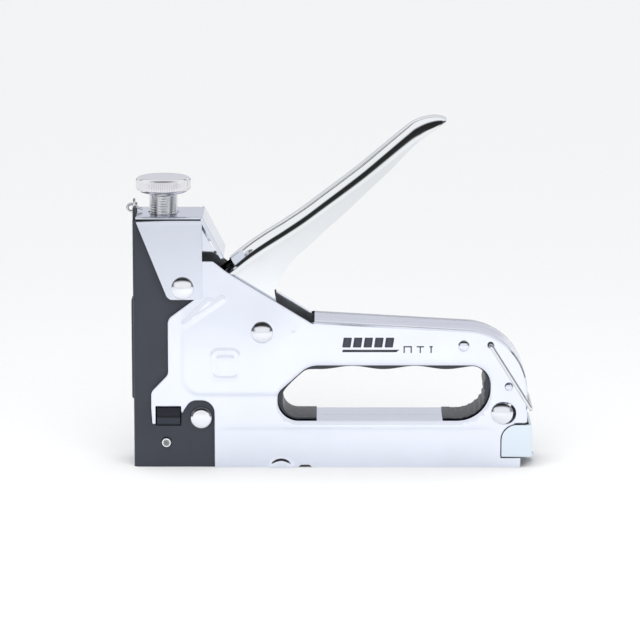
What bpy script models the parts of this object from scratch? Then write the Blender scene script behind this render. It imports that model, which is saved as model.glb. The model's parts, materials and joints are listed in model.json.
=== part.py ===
"""Manual staple gun: pressed steel halves, folded nose, squeeze lever, tension knob and pull-out magazine.

X runs from the nose (-X) to the rear (+X), Z is up from the foot, and the body is symmetric about Y = 0.
Outlines are lists of (x, z, corner radius) in millimetres; everything built from them is in metres.
"""

import math

import bmesh
import bpy
from mathutils import Matrix, Vector

MM = 0.001
TURN = 2 * math.pi
GAP = 0.3
CORNER_REACH = 0.85

# Body widths, measured out from the middle plane
SHELL_HALF = 13.0
SHEET = 1.2
SEAM_HALF = 0.15
HOUSING_HALF = 11.5
BRACKET_HALF = 15.0
BRACKET_SHEET = 1.5
GUARD_HALF = 12.7
GUARD_SHEET = 0.9
LINER_HALF = 10.6
LEVER_HALF = 10.0

# Joint axes and centres (x, z)
LEVER_PIVOT = (-27.8, 55.0)
LEVER_ARM_TIP = (-57.9, 44.05)
BAIL_PIVOT = (62.9, 49.9)
LATCH_PIVOT = (76.4, 3.8)
SCREW_X = -67.0

# Rivets and pins (x, z)
BRACKET_RIVET = (-59.2, 73.2)
NOSE_RIVET = (-52.1, 20.0)
REAR_RIVET = (67.7, 22.2)
REAR_HOLE = (69.0, 22.1)
REAR_HOLE_RADIUS = 4.3
GRIP_PIN = (52.3, 49.5)
REAR_PIN = (70.3, 33.0)
ROLL_PIN = (-66.1, 10.0)
RIVET_HEAD = 4.4
RIVET_SHANK = 2.6
PIVOT_SHANK = 3.0

# Tension adjuster (radii, heights)
SCREW_RADIUS = 5.7
SCREW_FOOT = 93.3
KNOB_FOOT = 109.2
KNOB_TOP = 115.6
KNOB_RADIUS = 10.9
SEAT_RADIUS = 8.6
SEAT_FOOT = 90.8

# Hammer and spring
HAMMER_FOOT = 24.9
HAMMER_TOP = 52.0
HAMMER_FRONT = -75.8
HAMMER_REAR = -57.0
HAMMER_HALF = 9.5
ARM_HALF_HEIGHT = 2.8
ARM_HALF = 3.0

# Magazine
CHANNEL_HALF = 6.9
CHANNEL_TOP = 14.0
RAIL_HALF = 4.3
RAIL_TOP = 11.3
RAIL_FOOT = 2.6
CROWN_HALF = 5.4
STRIP_FRONT = -75.6
STRIP_REAR = -49.6
PUSHER_REAR = -38.0
ROD_HEIGHT = 6.6

SHELL_OUTLINE = [
    (-56.0, 83.6, 1.0), (-47.2, 83.6, 1.5), (-42.0, 79.4, 6.0), (-8.3, 58.7, 0.4), (-6.9, 59.0, 0.4),
    (77.8, 54.1, 24.8), (77.8, 17.7, 0.8), (67.2, 17.7, 6.5), (67.2, 3.9, 0.4), (75.2, 3.9, 0.4),
    (75.2, 0.0, 0.6), (-8.0, 0.0, 0.3), (-9.0, 1.0, 0.3), (-12.4, 1.0, 0.3), (-13.4, 0.0, 0.3),
    (-46.8, 0.0, 0.4), (-46.8, 27.4, 5.2), (-56.4, 27.4, 4.4), (-59.6, 22.4, 0.5), (-60.1, 22.4, 0.2),
    (-60.1, 25.0, 0.3), (-70.3, 25.0, 0.3), (-70.3, 17.8, 0.3), (-71.6, 17.8, 0.5), (-72.0, 24.0, 1.0),
    (-72.0, 30.8, 3.4), (-65.2, 37.9, 3.4), (-65.2, 60.4, 4.0), (-54.6, 68.2, 0.5),
]
FINGER_OPENING = [
    (-9.3, 41.6, 10.0), (63.2, 41.6, 8.0), (63.2, 19.0, 13.4), (-21.9, 19.0, 8.6), (-21.9, 30.4, 5.6),
]
# The hollow inside the shells: open at the nose, the foot and the lever slot, flanged elsewhere
SHELL_CORE = [
    (-80.0, 90.0, 0.0), (-8.0, 90.0, 0.0), (-8.0, 57.9, 0.0), (76.6, 53.0, 23.6), (76.6, 18.9, 0.5),
    (66.8, 18.9, 0.5), (66.8, 16.4, 0.5), (79.0, 16.4, 0.0), (79.0, -2.0, 0.0), (-80.0, -2.0, 0.0),
]
OPENING_RIM = [
    (-9.8, 42.8, 11.2), (64.4, 42.8, 9.2), (64.4, 17.8, 14.6), (-23.1, 17.8, 9.8), (-23.1, 30.9, 6.8),
]
BRACKET_SIDE = [
    (-77.6, 102.5, 0.0), (-77.6, 100.2, 0.5), (-65.4, 69.6, 1.6), (-64.0, 68.5, 1.2), (-51.4, 68.5, 0.5),
    (-51.4, 102.5, 0.0),
]
CAP_SIDE = [(67.6, 4.4, 0.4), (67.6, 17.3, 6.1), (79.8, 17.3, 0.8), (79.8, 4.4, 0.8)]
EAR_SIDE = [
    (-38.2, 75.6, 0.5), (-36.6, 68.0, 3.0), (-36.0, 47.5, 7.5), (-20.2, 47.5, 7.5), (-22.4, 68.0, 5.0),
    (-23.4, 74.6, 1.0), (-31.4, 81.0, 1.0),
]
# Lever sections, root to tip: crown (x, z), flange edge (x, z), half width
LEVER_SECTIONS = [
    (-45.5, 79.5, -40.5, 68.5, 10.0), (-41.0, 83.2, -35.0, 71.5, 10.0), (-34.7, 88.3, -23.0, 71.5, 10.0),
    (-28.2, 92.8, -19.8, 77.6, 10.0), (-20.0, 98.0, -15.4, 83.8, 10.0), (-12.6, 103.0, -8.6, 89.9, 10.0),
    (-4.6, 109.0, -1.5, 96.6, 10.0), (3.5, 115.1, 6.2, 103.5, 10.0), (11.7, 121.5, 14.2, 111.3, 10.0),
    (19.8, 128.3, 22.6, 119.2, 9.9), (28.0, 135.1, 30.5, 127.5, 9.7), (32.1, 138.0, 34.2, 130.8, 9.4),
    (36.2, 139.5, 37.6, 133.4, 8.8), (40.2, 140.1, 40.4, 135.0, 7.8), (43.2, 139.7, 42.9, 136.6, 6.4),
    (45.2, 138.9, 44.7, 137.7, 4.6),
]
# The lever's bend, upwards: slope reached in degrees and length, at the root and at the tip
LEVER_BEND = [(24, 1.5, 1.5), (50, 2.0, 5.0), (54, 0.3, 0.3), (70, 5.4, 3.0), (76, 0.5, 0.5), (90, 3.4, 3.2)]

CHROME = (0.82, 0.84, 0.88)
DARK_PAINT = (0.075, 0.08, 0.105)
BLACK_PLASTIC = (0.035, 0.038, 0.045)
SPRING_STEEL = (0.45, 0.46, 0.48)
RAW_STEEL = (0.55, 0.56, 0.58)
RUBBER = (0.02, 0.02, 0.02)


def clear_scene():
    for obj in list(bpy.data.objects):
        bpy.data.objects.remove(obj)


def new_collection(name, hidden=False):
    collection = bpy.data.collections.new(name)
    bpy.context.scene.collection.children.link(collection)
    collection.hide_render = hidden
    return collection


def material(name, color, roughness, metallic):
    made = bpy.data.materials.new(name)
    made.use_nodes = True
    shader = made.node_tree.nodes["Principled BSDF"]
    shader.inputs["Base Color"].default_value = (*color, 1.0)
    shader.inputs["Roughness"].default_value = roughness
    shader.inputs["Metallic"].default_value = metallic
    return made


def finish(obj, color, roughness=0.2, metallic=1.0, smooth_deg=35):
    """Gives a piece its own material and smooth shading, and files it with the parts."""
    obj.data.materials.append(material(obj.name, color, roughness, metallic))
    obj.data.shade_smooth()
    obj.data.set_sharp_from_angle(angle=math.radians(smooth_deg))
    PARTS.objects.link(obj)
    return obj


def helper(obj):
    """Files a cutter or an operand away from the parts."""
    obj.hide_render = True
    obj.display_type = "WIRE"
    CUTTERS.objects.link(obj)
    return obj


def boolean(obj, other, operation):
    if other.name not in CUTTERS.objects:
        helper(other)
    modifier = obj.modifiers.new(f"{operation} {other.name}", "BOOLEAN")
    modifier.operation = operation
    modifier.object = other
    modifier.solver = "EXACT"
    return obj


def cut(obj, *cutters):
    for cutter in cutters:
        boolean(obj, cutter, "DIFFERENCE")
    return obj


def join(obj, *others):
    for other in others:
        boolean(obj, other, "UNION")
    return obj


def keep_inside(obj, region):
    return boolean(obj, region, "INTERSECT")


def rounded(corners, steps=5):
    """Corner points (x, z, r) as a closed outline, each corner replaced by an arc of radius r."""
    points = []
    for i, (x, z, r) in enumerate(corners):
        here = Vector((x, z))
        back = Vector(corners[i - 1][:2]) - here
        ahead = Vector(corners[(i + 1) % len(corners)][:2]) - here
        opening = back.angle(ahead)
        if r <= 0 or opening > math.radians(179):
            points.append(here)
            continue
        reach = min(r / math.tan(opening / 2), CORNER_REACH * min(back.length, ahead.length))
        radius = reach * math.tan(opening / 2)
        centre = here + (back.normalized() + ahead.normalized()).normalized() * (
            radius / math.sin(opening / 2)
        )
        start = here + back.normalized() * reach - centre
        turn = start.angle_signed(here + ahead.normalized() * reach - centre)
        count = max(1, round(steps * abs(turn) / (math.pi / 2) * (1.0 if radius > 2 else 0.6)))
        for k in range(count + 1):
            points.append(centre + Matrix.Rotation(-turn * k / count, 2) @ start)
    return [(p.x, p.y) for p in points]


def box_loop(x0, x1, z0, z1):
    return [(x0, z0), (x1, z0), (x1, z1), (x0, z1)]


def circle_loop(centre, radius, steps=20):
    angles = [TURN * k / steps for k in range(steps)]
    return [(centre[0] + radius * math.cos(a), centre[1] + radius * math.sin(a)) for a in angles]


def mesh_from(obj):
    """The curve object as a mesh object of the same name, welded, with its placing applied."""
    bpy.context.scene.collection.objects.link(obj)
    bpy.context.view_layer.update()
    graph = bpy.context.evaluated_depsgraph_get()
    mesh = bpy.data.meshes.new_from_object(obj.evaluated_get(graph))
    mesh.transform(obj.matrix_world)
    name = obj.name
    bpy.data.objects.remove(obj)
    shape = bmesh.new()
    shape.from_mesh(mesh)
    bmesh.ops.remove_doubles(shape, verts=shape.verts, dist=1e-6)
    bmesh.ops.dissolve_degenerate(shape, edges=shape.edges, dist=1e-6)
    bmesh.ops.recalc_face_normals(shape, faces=shape.faces)
    if shape.calc_volume(signed=True) < 0:
        bmesh.ops.reverse_faces(shape, faces=shape.faces)
    shape.to_mesh(mesh)
    shape.free()
    return bpy.data.objects.new(name, mesh)


AXIS_TURNS = {"X": (math.pi / 2, 0, math.pi / 2), "Y": (math.pi / 2, 0, 0), "Z": (0, 0, 0)}


def prism(name, loops, low, high, axis="Y", bevel=0.0):
    """Closed loops (holes included) extruded from low to high along an axis, with rounded rims.

    Loops are (x, z) for axis Y, (x, y) for axis Z and (y, z) for axis X, in millimetres.
    """
    curve = bpy.data.curves.new(name, "CURVE")
    curve.dimensions = "2D"
    curve.fill_mode = "BOTH"
    curve.extrude = ((high - low) / 2 - bevel) * MM
    curve.bevel_depth = bevel * MM
    curve.bevel_resolution = 1
    curve.offset = -bevel * MM
    for loop in loops:
        spline = curve.splines.new("POLY")
        spline.points.add(len(loop) - 1)
        for point, (a, b) in zip(spline.points, loop):
            point.co = (a * MM, b * MM, 0, 1)
        spline.use_cyclic_u = True
    obj = bpy.data.objects.new(name, curve)
    obj.rotation_euler = AXIS_TURNS[axis]
    obj.location["XYZ".index(axis)] = (low + high) / 2 * MM
    return mesh_from(obj)


def block(name, x, y, z):
    """A box from ranges (low, high) in millimetres."""
    return prism(name, [box_loop(*x, *z)], *y)


def turned(name, profile, at, axis="Y", steps=24):
    """A profile of (radius, height), top to bottom down its outer side, spun about an axis through at."""
    mesh = bpy.data.meshes.new(name)
    verts = [(r * MM, 0, h * MM) for r, h in profile]
    closed = profile[0][0] > 0
    edges = [(i, i + 1) for i in range(len(profile) - 1)]
    if closed:
        edges.append((len(profile) - 1, 0))
    mesh.from_pydata(verts, edges, [])
    obj = bpy.data.objects.new(name, mesh)
    screw = obj.modifiers.new("Turn", "SCREW")
    screw.steps = steps
    screw.render_steps = steps
    screw.use_merge_vertices = True
    screw.merge_threshold = 0.00001
    obj.rotation_euler = {"X": (0, math.pi / 2, 0), "Y": (-math.pi / 2, 0, 0), "Z": (0, 0, 0)}[axis]
    obj.location = [v * MM for v in at]
    return mesh_from(obj)


def wire(name, points, radius, resolution=2):
    """A round wire along points in millimetres."""
    curve = bpy.data.curves.new(name, "CURVE")
    curve.dimensions = "3D"
    curve.bevel_depth = radius * MM
    curve.bevel_resolution = resolution
    curve.use_fill_caps = True
    spline = curve.splines.new("POLY")
    spline.points.add(len(points) - 1)
    for point, at in zip(spline.points, points):
        point.co = (*[v * MM for v in at], 1)
    return mesh_from(bpy.data.objects.new(name, curve))


def dome_profile(head, rise, top, shank, foot):
    """Half a rivet: a domed head of this rise whose underside is at top, on a shank down to foot."""
    dome = [(head * math.sin(a), top + 0.5 + (rise - 0.5) * math.cos(a)) for a in
            [math.pi / 2 * k / 4 for k in range(5)]]
    dome[0] = (0.0, top + rise)
    return [*dome, (head, top), (shank, top), (shank, foot), (0.0, foot)]


def through_rivet(name, at, head, rise, face, shank):
    """A rivet across the body with a domed head at each side."""
    upper = dome_profile(head, rise, face, shank, 0)[:-2]
    profile = upper + [(r, -h) for r, h in reversed(upper)]
    return turned(name, profile, (at[0], 0, at[1]))


def side_rivet(name, at, side, head, rise, face, shank, foot):
    """A short rivet through one side wall only."""
    obj = turned(name, dome_profile(head, rise, face, shank, foot), (at[0], 0, at[1]))
    if side < 0:
        face_near(obj, at)
    return obj


def face_near(obj, at):
    """Turns a piece modelled on the far side half round, about the upright line through (x, z)."""
    obj.data.transform(Matrix.Translation((2 * at[0] * MM, 0, 0)) @ Matrix.Rotation(math.pi, 4, "Z"))


def side_shells():
    """The two pressed halves: one hollow body with flanged rims, split on the middle plane."""
    holes = (
        (LEVER_PIVOT, PIVOT_SHANK + GAP), (REAR_HOLE, REAR_HOLE_RADIUS), (GRIP_PIN, 1.6), (REAR_PIN, 1.3),
        (BAIL_PIVOT, 1.15),
    )
    loops = [rounded(SHELL_OUTLINE), rounded(FINGER_OPENING, steps=6)]
    loops += [circle_loop(at, radius, 16) for at, radius in holes]
    core_loops = [rounded(SHELL_CORE), rounded(OPENING_RIM, steps=6)]
    core = prism("shell_core", core_loops, -SHELL_HALF + SHEET, SHELL_HALF - SHEET)
    for word, low, high in (("near", -SHELL_HALF, -SEAM_HALF), ("far", SEAM_HALF, SHELL_HALF)):
        finish(cut(prism(f"side_shell_{word}", loops, low, high), core), CHROME, 0.12)


def through_hole(name, at, radius, half=20):
    return prism(name, [circle_loop(at, radius, 16)], -half, half)


def front_housing():
    """Folded channel: a front wall with a pressed rib and a top tab, and two side walls."""
    wall = SHEET
    section = [
        (-46.8, -HOUSING_HALF, 0), (-79.0, -HOUSING_HALF, 1.8), (-79.0, HOUSING_HALF, 1.8),
        (-46.8, HOUSING_HALF, 0), (-46.8, HOUSING_HALF - wall, 0), (-79.0 + wall, HOUSING_HALF - wall, 0.6),
        (-79.0 + wall, -HOUSING_HALF + wall, 0.6), (-46.8, -HOUSING_HALF + wall, 0),
    ]
    housing = prism("front_housing", [rounded(section, steps=16)], 0, 104, axis="Z")
    rear_cut = [
        (-77.2, 110), (-77.2, 99.4), (-62.8, 99.4), (-62.8, 97.4), (-53.5, 97.4), (-53.5, 30), (-40, 30),
        (-40, 110),
    ]
    cut(
        housing,
        prism("housing_rear", [rear_cut], -20, 20),
        block("housing_tab_near", (-82, -70), (-20, -7.5), (99.4, 110)),
        block("housing_tab_far", (-82, -70), (7.5, 20), (99.4, 110)),
        block("spring_notch", (-82, -70), (-2.6, 2.6), (100.2, 110)),
        prism("bumper_window", [box_loop(-70.3, -60.1, 16.8, 24.8)], -20, 20),
        through_hole("nose_hole", NOSE_RIVET, RIVET_SHANK + GAP),
        through_hole("roll_hole", ROLL_PIN, 2.2),
        through_hole("bracket_hole", BRACKET_RIVET, RIVET_SHANK + GAP),
    )
    rib = prism("front_rib", [rounded([(-4.5, 26, 2), (4.5, 26, 2), (4.5, 67, 2), (-4.5, 67, 2)])],
                -80.0, -78.4, axis="X", bevel=0.7)
    join(housing, rib)
    finish(housing, DARK_PAINT, 0.45, 0.3)


def cap_bracket():
    """Strap folded over the nose: top plate, two tapered sides and a slanted tail."""
    half = BRACKET_HALF
    inner = half - BRACKET_SHEET
    top = 101.4
    section = [
        (-half, 60, 0), (-half, top, 3), (half, top, 3), (half, 60, 0),
        (inner, 60, 0), (inner, top - BRACKET_SHEET, 1.6), (-inner, top - BRACKET_SHEET, 1.6), (-inner, 60, 0),
    ]
    bracket = prism("cap_bracket", [rounded(section, steps=8)], -77.6, -50.6, axis="X")
    keep_inside(bracket, prism("bracket_side", [rounded(BRACKET_SIDE, steps=5)], -20, 20))
    tail = [(-51.9, 101.4), (-51.0, 101.2), (-42.8, 85.4), (-44.1, 84.7), (-51.9, 99.6)]
    join(bracket, prism("bracket_tail", [tail], -14.5, 14.5, bevel=0.3))
    cut(bracket, turned_hole("screw_hole", SCREW_RADIUS + 0.4, (95, 105)),
        through_hole("bracket_rivet_hole", BRACKET_RIVET, RIVET_SHANK + GAP))
    finish(bracket, CHROME, 0.14)


def turned_hole(name, radius, heights):
    return prism(name, [circle_loop((SCREW_X, 0), radius, 24)], *heights, axis="Z")


def spring_guard():
    """Inner channel behind the bracket that covers the spring space, with cheeks up to the tail."""
    cheek = [(-57.5, 99.3, 0), (-53.0, 99.3, 0), (-45.7, 86.0, 0.3), (-47.3, 87.6, 0.5), (-57.5, 87.6, 0)]
    guard = prism("spring_guard", [rounded(cheek)], -GUARD_HALF, GUARD_HALF)
    inner = GUARD_HALF - GUARD_SHEET
    cut(guard, block("guard_hollow", (-60, -40), (-inner, inner), (80, 98.4)))
    finish(guard, CHROME, 0.16)


def swell(x, low, high):
    """0 below low, 1 above high, eased between."""
    t = min(1.0, max(0.0, (x - low) / (high - low)))
    return t * t * (3 - 2 * t)


def liner_thickness(x, z):
    """Wall of the grip liner: wavy under the grip, swelling on the two end walls, thin on the floor."""
    wave = 1.35 + 0.65 * math.cos(TURN * (x - 20.5) / 25.0)
    peak, rise = (28.5, 1.5) if x < 20 else (33.0, 2.0)
    spread = 4.0 if z > peak else 6.5
    wall = 0.8 + rise * math.exp(-(((z - peak) / spread) ** 2))
    under_grip = swell(z, 38.5, 40.5) * swell(x, -13.0, -7.5)
    return wall + (wave - wall) * under_grip


def grip_liner():
    """C-shaped plastic band inside the finger opening, its two floor ends left open."""
    path = rounded(FINGER_OPENING, steps=9)
    dense = []
    for i, (x, z) in enumerate(path):
        nx, nz = path[(i + 1) % len(path)]
        count = max(1, round(math.hypot(nx - x, nz - z) / 3.2))
        dense += [(x + (nx - x) * k / count, z + (nz - z) * k / count) for k in range(count)]
    first = min(range(len(dense)), key=lambda i: math.hypot(dense[i][0] + 6.0, dense[i][1] - 18.5))
    ordered = dense[first:] + dense[:first]
    kept = [p for p in ordered if not (-6.0 < p[0] < 44.0 and p[1] < 25)]
    outer = []
    inner = []
    for i, (x, z) in enumerate(kept):
        ahead = kept[min(i + 1, len(kept) - 1)]
        behind = kept[max(i - 1, 0)]
        along = Vector((ahead[0] - behind[0], ahead[1] - behind[1])).normalized()
        normal = Vector((along.y, -along.x))
        outer.append((x + normal.x * GAP, z + normal.y * GAP))
        wall = liner_thickness(x, z)
        inner.append((x + normal.x * wall, z + normal.y * wall))
    liner = prism("grip_liner", [outer + inner[::-1]], -LINER_HALF, LINER_HALF)
    finish(liner, BLACK_PLASTIC, 0.5, 0.0)


def bumper_block():
    """Rubber stop across the nose, with a ridged face showing in each window."""
    section = [(-11.9, 17.2), (11.9, 17.2), (12.9, 20.8), (11.9, 24.4), (-11.9, 24.4), (-12.9, 20.8)]
    finish(prism("bumper_block", [section], -69.9, -60.5, axis="X"), RUBBER, 0.6, 0.0)


def fasteners():
    rivets = [
        through_rivet("lever_rivet", LEVER_PIVOT, RIVET_HEAD, 2.2, SHELL_HALF + GAP, PIVOT_SHANK),
        through_rivet("rear_rivet", REAR_RIVET, RIVET_HEAD, 2.0, SHELL_HALF + GAP, RIVET_SHANK),
        through_rivet("nose_rivet", NOSE_RIVET, RIVET_HEAD, 1.4, HOUSING_HALF + GAP, RIVET_SHANK),
        through_rivet("grip_pin", GRIP_PIN, 2.2, 1.0, SHELL_HALF + GAP, 1.3),
        through_rivet("rear_pin", REAR_PIN, 1.5, 0.8, SHELL_HALF + GAP, 1.0),
    ]
    for side, word in ((-1, "near"), (1, "far")):
        rivets.append(side_rivet(f"bracket_rivet_{word}", BRACKET_RIVET, side, RIVET_HEAD, 1.9,
                                 BRACKET_HALF + GAP, RIVET_SHANK, 9.9))
        tube = turned(f"roll_pin_{word}", [(1.9, 12.3), (1.9, 7.3), (1.1, 7.3), (1.1, 12.3)],
                      (ROLL_PIN[0], 0, ROLL_PIN[1]), steps=16)
        if side < 0:
            face_near(tube, ROLL_PIN)
        rivets.append(tube)
    for rivet in rivets:
        finish(rivet, CHROME, 0.15)


def lever_bend(share, steps):
    """The bend from flange to crown as (inward, upward) offsets, at this share of the way to the tip."""
    points = [(0.0, 0.0)]
    slope = 0.0
    for target, root, tip in LEVER_BEND:
        length = (root + (tip - root) * share) / steps
        for k in range(steps):
            angle = math.radians(slope + (target - slope) * (k + 0.5) / steps)
            inward, upward = points[-1]
            points.append((inward + length * math.sin(angle), upward + length * math.cos(angle)))
        slope = target
    return points


def lever_section(crown, edge, half, share):
    """One section of the lever's open channel, from the near flange edge over the crown to the far edge."""
    crown = Vector((crown[0], 0, crown[1]))
    edge = Vector((edge[0], 0, edge[1]))
    up = crown - edge
    depth = up.length
    bend = lever_bend(share, 1)
    scale = min(half / bend[-1][0], 0.94 * depth / bend[-1][1]) * 0.98
    flange = depth - bend[-1][1] * scale
    near = [(half, 0.0), (half, 0.5 * flange)]
    near += [(half - inward * scale, flange + upward * scale) for inward, upward in bend]
    profile = near + [(-w, r) for w, r in reversed(near)]
    return [edge + up.normalized() * rise + Vector((0, -width, 0)) for width, rise in profile]


def lever_handle():
    """Pressed channel lofted along the grip, closed at the tip's width, with two ears at the root."""
    mesh = bpy.data.meshes.new("lever_handle")
    shape = bmesh.new()
    rows = []
    for i, (cx, cz, ex, ez, half) in enumerate(LEVER_SECTIONS):
        section = lever_section((cx, cz), (ex, ez), half, i / (len(LEVER_SECTIONS) - 1))
        rows.append([shape.verts.new(p * MM) for p in section])
    for row, following in zip(rows, rows[1:]):
        for i in range(len(row) - 1):
            shape.faces.new((row[i], row[i + 1], following[i + 1], following[i]))
    bmesh.ops.recalc_face_normals(shape, faces=shape.faces)
    shape.to_mesh(mesh)
    shape.free()
    lever = bpy.data.objects.new("lever_handle", mesh)
    wall = lever.modifiers.new("Sheet", "SOLIDIFY")
    wall.thickness = SHEET * MM
    wall.offset = -1.0
    wall.use_even_offset = True
    ear_loops = [rounded(EAR_SIDE), circle_loop(LEVER_PIVOT, PIVOT_SHANK + GAP)]
    for word, low in (("near", -LEVER_HALF), ("far", LEVER_HALF - SHEET)):
        join(lever, prism(f"ear_{word}", ear_loops, low, low + SHEET))
    return finish(lever, CHROME, 0.12)


def lever_arm():
    """Solid arm from the pivot hub to the rounded tip that sits in the hammer's rear pocket."""
    pivot = Vector(LEVER_PIVOT)
    tip = Vector(LEVER_ARM_TIP)
    along = (tip - pivot).normalized()
    across = Vector((-along.y, along.x))
    outline = []
    for k in range(9):
        turn = math.pi * k / 8
        outline.append(tip + ARM_HALF_HEIGHT * (along * math.sin(turn) - across * math.cos(turn)))
    for k in range(13):
        turn = math.radians(35) + math.radians(290) * k / 12
        outline.append(pivot + 7.5 * (along * math.cos(turn) + across * math.sin(turn)))
    arm = prism("lever_arm", [[tuple(p) for p in outline], circle_loop(LEVER_PIVOT, PIVOT_SHANK + GAP)],
                -ARM_HALF, ARM_HALF)
    return finish(arm, RAW_STEEL, 0.35)


def lever_bush(word, side):
    ends = sorted((side * (ARM_HALF + GAP), side * (LEVER_HALF - SHEET - GAP)))
    loops = [circle_loop(LEVER_PIVOT, 5.0), circle_loop(LEVER_PIVOT, PIVOT_SHANK + GAP)]
    return finish(prism(f"lever_bush_{word}", loops, *ends), RAW_STEEL, 0.3)


def coil(centre, radius, start, end, turns, axis, per_turn, start_turn=0.0):
    """Points of a helix about an axis, from start to end along it."""
    points = []
    count = round(abs(turns) * per_turn)
    for k in range(count + 1):
        angle = TURN * (start_turn + turns * k / count)
        a = radius * math.cos(angle)
        b = radius * math.sin(angle)
        along = start + (end - start) * k / count
        if axis == "Z":
            points.append((centre[0] + a, centre[1] + b, along))
        elif axis == "Y":
            points.append((centre[0] + a, along, centre[1] + b))
        else:
            points.append((along, centre[0] + a, centre[1] + b))
    return points


def return_spring():
    """Torsion coil round the near bush, one leg up the lever and one along the slot."""
    turns = coil(LEVER_PIVOT, 6.3, -7.6, -4.2, 2.5, "Y", 12, 0.25)
    x, z = LEVER_PIVOT
    points = [(x - 9, -7.6, z + 6.3), *turns, (x + 11, -4.2, z - 6.3)]
    return finish(wire("return_spring", points, 0.6, 1), SPRING_STEEL, 0.3)


def hammer_block():
    """Block that slides in the nose, with a pocket for the lever arm and a lug for the blade."""
    hammer = prism("hammer_block", [box_loop(HAMMER_FRONT, HAMMER_REAR, HAMMER_FOOT, HAMMER_TOP)],
                   -HAMMER_HALF, HAMMER_HALF, bevel=0.6)
    pocket_z = (LEVER_ARM_TIP[1] - 3.9, LEVER_ARM_TIP[1] + 3.9)
    cut(hammer, block("arm_pocket", (-64.5, -50), (-ARM_HALF - 0.6, ARM_HALF + 0.6), pocket_z))
    join(hammer, block("blade_lug", (-77.2, -74), (-2, 2), (38, 42)))
    return finish(hammer, RAW_STEEL, 0.35)


def striker_blade():
    loops = [box_loop(-CROWN_HALF, CROWN_HALF, 0.9, 50.0), box_loop(-2.4, 2.4, 37.6, 42.4)]
    return finish(prism("striker_blade", loops, -77.4, -76.2, axis="X"), RAW_STEEL, 0.25)


def main_spring():
    points = coil((SCREW_X, 0), 6.5, HAMMER_TOP + 1.4, SEAT_FOOT - 1.4, 6.5, "Z", 14)
    return finish(wire("main_spring", points, 0.9), SPRING_STEEL, 0.3)


def spring_seat():
    profile = [(0, SEAT_FOOT + 2.2), (SEAT_RADIUS, SEAT_FOOT + 2.2), (SEAT_RADIUS, SEAT_FOOT), (5.0, SEAT_FOOT),
               (4.4, SEAT_FOOT - 3.0), (0, SEAT_FOOT - 3.0)]
    return finish(turned("spring_seat", profile, (SCREW_X, 0, 0), "Z"), RAW_STEEL, 0.35)


def thread_bush():
    loops = [circle_loop((SCREW_X, 0), 8.6, 6), circle_loop((SCREW_X, 0), SCREW_RADIUS + 0.15, 32)]
    return finish(prism("thread_bush", loops, 93.6, 99.5, axis="Z"), RAW_STEEL, 0.3)


def tension_screw():
    foot, top = SCREW_FOOT, KNOB_FOOT - GAP
    profile = [(0, top), (SCREW_RADIUS, top), (SCREW_RADIUS, foot + 0.8), (SCREW_RADIUS - 0.8, foot), (0, foot)]
    return finish(turned("tension_screw", profile, (SCREW_X, 0, 0), "Z", 32), CHROME, 0.18)


def tension_knob():
    """Turned head with a coarse knurl round its side."""
    profile = [(0, KNOB_TOP), (10.1, KNOB_TOP), (KNOB_RADIUS, KNOB_TOP - 0.8), (KNOB_RADIUS, KNOB_FOOT + 1.5),
               (9.6, KNOB_FOOT + 0.4), (7.5, KNOB_FOOT), (0, KNOB_FOOT)]
    return finish(turned("tension_knob", profile, (SCREW_X, 0, 0), "Z", 48), CHROME, 0.18)


def magazine_channel():
    half, top = CHANNEL_HALF, CHANNEL_TOP
    section = [(-half, 1.2), (-half, top), (half, top), (half, 1.2), (half - 1, 1.2), (half - 1, top - 1),
               (-half + 1, top - 1), (-half + 1, 1.2)]
    return finish(prism("magazine_channel", [section], -75.6, 66.4, axis="X"), RAW_STEEL, 0.3)


def staple_strip():
    half, top = CROWN_HALF, 12.5
    section = [(-half, 3.2), (-half, top), (half, top), (half, 3.2), (half - 0.7, 3.2), (half - 0.7, top - 0.8),
               (-half + 0.7, top - 0.8), (-half + 0.7, 3.2)]
    return finish(prism("staple_strip", [section], STRIP_FRONT, STRIP_REAR, axis="X"), SPRING_STEEL, 0.3)


def pusher_rail():
    """Inverted channel that the staples straddle, closed at the front, drilled at the rear for the latch."""
    half, top, foot = RAIL_HALF, RAIL_TOP, RAIL_FOOT
    inner, roof = half - 0.8, top - 0.8
    section = [(-half, foot), (-half, top), (half, top), (half, foot), (inner, foot), (inner, roof),
               (-inner, roof), (-inner, foot)]
    rail = prism("pusher_rail", [section], -75.2, 77.8, axis="X")
    join(rail, block("rail_nose", (-75.2, -74.4), (-half + 0.1, half - 0.1), (foot + 0.1, top - 0.1)))
    cut(rail, through_hole("latch_pin_hole", LATCH_PIVOT, 0.8))
    return finish(rail, RAW_STEEL, 0.28)


def guide_rod():
    rod = prism("guide_rod", [circle_loop((0, ROD_HEIGHT), 0.9, 12)], -74.0, 70.0, axis="X")
    return finish(rod, RAW_STEEL, 0.3)


def pusher():
    """Saddle over the rail, closed below it, with an inner block that rides the guide rod."""
    saddle = prism("pusher", [box_loop(-5.4, 5.4, 1.4, 12.6)], STRIP_REAR + GAP, PUSHER_REAR, axis="X")
    hollow = [(-4.65, 2.2), (-4.65, 11.65), (4.65, 11.65), (4.65, 2.2), (3.1, 2.2), (3.1, 10.1), (-3.1, 10.1),
              (-3.1, 2.2)]
    cut(saddle, prism("pusher_hollow", [hollow], -60, -30, axis="X"),
        prism("pusher_bore", [circle_loop((0, ROD_HEIGHT), 1.15, 12)], -60, -30, axis="X"))
    return finish(saddle, RAW_STEEL, 0.3)


def pusher_spring():
    points = coil((0, ROD_HEIGHT), 2.3, PUSHER_REAR + 1.0, 69.0, 22, "X", 8)
    return finish(wire("pusher_spring", points, 0.35, 1), SPRING_STEEL, 0.3)


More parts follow.
